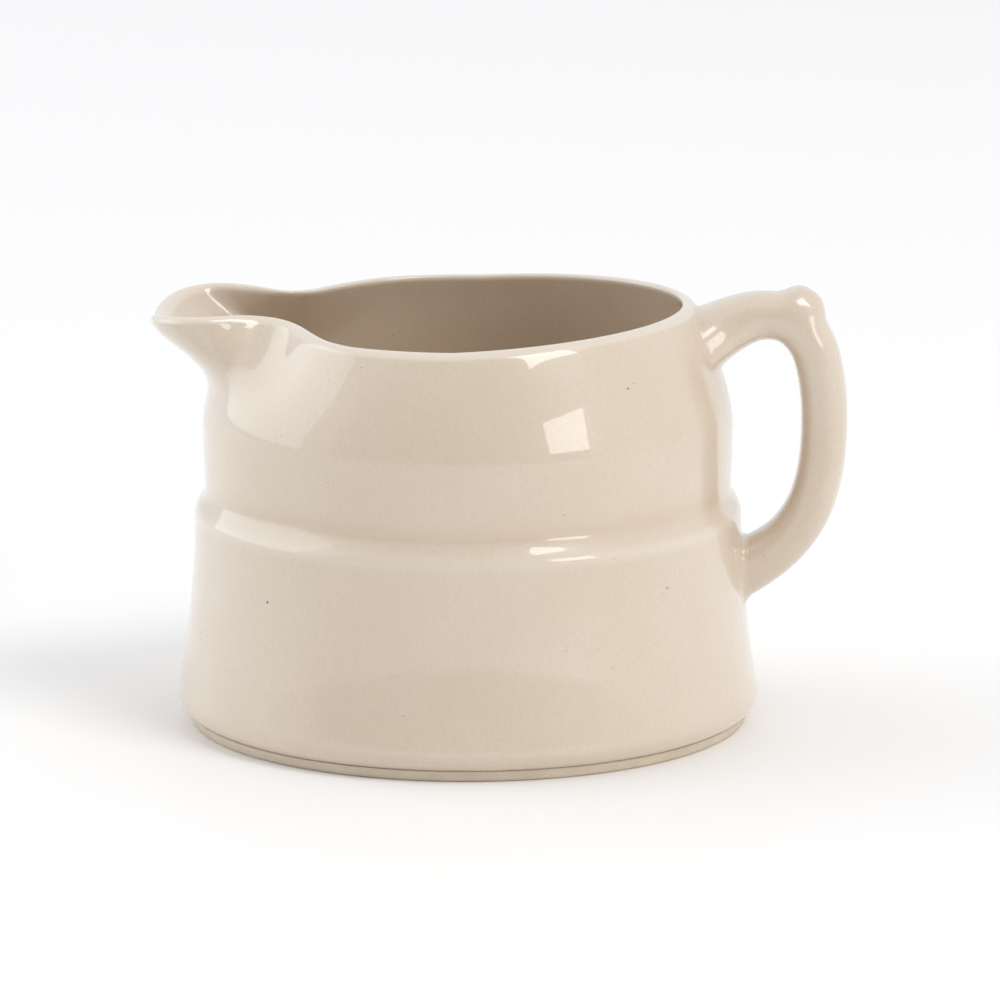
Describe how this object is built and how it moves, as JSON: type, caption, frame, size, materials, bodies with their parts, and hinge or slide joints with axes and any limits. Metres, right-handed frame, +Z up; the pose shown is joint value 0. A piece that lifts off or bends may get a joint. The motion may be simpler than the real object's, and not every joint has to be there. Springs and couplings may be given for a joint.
{
  "type": "cream jug",
  "caption": "Glazed porcelain cream jug: a domed bowl with a moulded ridge, a pulled and pinched pouring lip, a strap handle with a thumb rest, and an unglazed foot ring.",
  "frame": {"origin": "middle of the foot ring, in the plane of the surface that the jug stands on", "axes": "+Z up along the axis of the bowl, +X towards the handle, -X towards the pouring lip"},
  "size_m": [0.1164, 0.098, 0.074],
  "materials": {
    "glaze": "clear gloss glaze over a warm cream body, with fine brown specks",
    "bare_clay": "unglazed, fine matt clay, wiped clean before firing"
  },
  "bodies": {
    "root": {"jug_body": "glaze", "foot_ring": "bare_clay", "pouring_lip": "glaze", "handle": "glaze", "thumb_rest": "glaze", "upper_handle_joint": "glaze", "lower_handle_joint": "glaze"}
  },
  "joints": []
}
